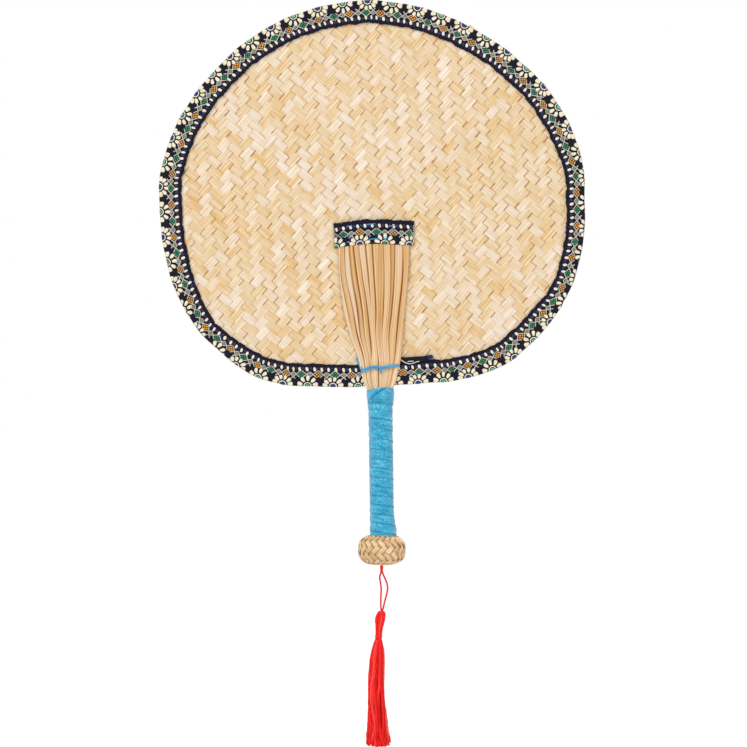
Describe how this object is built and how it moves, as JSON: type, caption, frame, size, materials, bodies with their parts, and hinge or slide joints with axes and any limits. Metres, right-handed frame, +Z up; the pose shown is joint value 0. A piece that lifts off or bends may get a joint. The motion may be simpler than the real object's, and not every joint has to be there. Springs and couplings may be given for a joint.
{
  "type": "hand fan",
  "caption": "Woven reed hand fan with a ribbon-bound blade, splint ribs, a tape-wound handle, a plaited pommel and a tassel that swings on a cord loop.",
  "frame": {"origin": "middle of the grip on the handle's axis, where a hand holds it", "axes": "+Z up the handle towards the blade, +X to the right seen from the front, +Y out of the back of the blade"},
  "size_m": [0.2992, 0.0334, 0.5228],
  "materials": {
    "reed_weave": "pale split reed, satin",
    "ribbon": "figured woven ribbon on navy",
    "splint_reed": "tan split reed, satin",
    "core_wood": "bare wood",
    "tie_cord": "sky-blue cotton cord",
    "tape_cloth": "blue cotton tape",
    "straw_plait": "plaited straw",
    "tassel_thread": "red silky thread"
  },
  "bodies": {
    "fan": {"woven_blade": "reed_weave", "edge_ribbon": "ribbon", "ribbon_end": "ribbon", "front_patch": "ribbon", "back_patch": "ribbon", "front_splint_01": "splint_reed", "back_splint_01": "splint_reed", "front_splint_02": "splint_reed", "back_splint_02": "splint_reed", "front_splint_03": "splint_reed", "back_splint_03": "splint_reed", "front_splint_04": "splint_reed", "back_splint_04": "splint_reed", "front_splint_05": "splint_reed", "back_splint_05": "splint_reed", "front_splint_06": "splint_reed", "back_splint_06": "splint_reed", "front_splint_07": "splint_reed", "back_splint_07": "splint_reed", "front_splint_08": "splint_reed", "back_splint_08": "splint_reed", "front_splint_09": "splint_reed", "back_splint_09": "splint_reed", "front_splint_10": "splint_reed", "back_splint_10": "splint_reed", "front_splint_11": "splint_reed", "back_splint_11": "splint_reed", "front_splint_12": "splint_reed", "back_splint_12": "splint_reed", "handle_core": "core_wood", "neck_tie": "tie_cord", "handle_tape": "tape_cloth", "pommel_core": "core_wood", "pommel_plait": "straw_plait", "cord_stop_knot": "tassel_thread"},
    "cord_knot": {"cord_knot": "tassel_thread"},
    "tassel_loop": {"tassel_loop": "tassel_thread"},
    "tassel_head": {"tassel_head": "tassel_thread", "tassel_binding": "tassel_thread"},
    "tassel_skirt": {"tassel_skirt": "tassel_thread"}
  },
  "joints": [
    {"name": "cord_swing_front_back", "type": "hinge", "parent": "fan", "child": "cord_knot", "pos_m": [0, 0, -0.0741], "axis": [1, 0, 0], "range_deg": [-75, 75]},
    {"name": "cord_swing_sideways", "type": "hinge", "parent": "cord_knot", "child": "tassel_loop", "pos_m": [0, 0, -0.0741], "axis": [0, 1, 0], "range_deg": [-75, 75]},
    {"name": "tassel_swing_front_back", "type": "hinge", "parent": "tassel_loop", "child": "tassel_head", "pos_m": [0, 0, -0.1045], "axis": [1, 0, 0], "range_deg": [-70, 70]},
    {"name": "skirt_bend_sideways", "type": "hinge", "parent": "tassel_head", "child": "tassel_skirt", "pos_m": [0, 0, -0.125], "axis": [0, 1, 0], "range_deg": [-45, 45]}
  ]
}
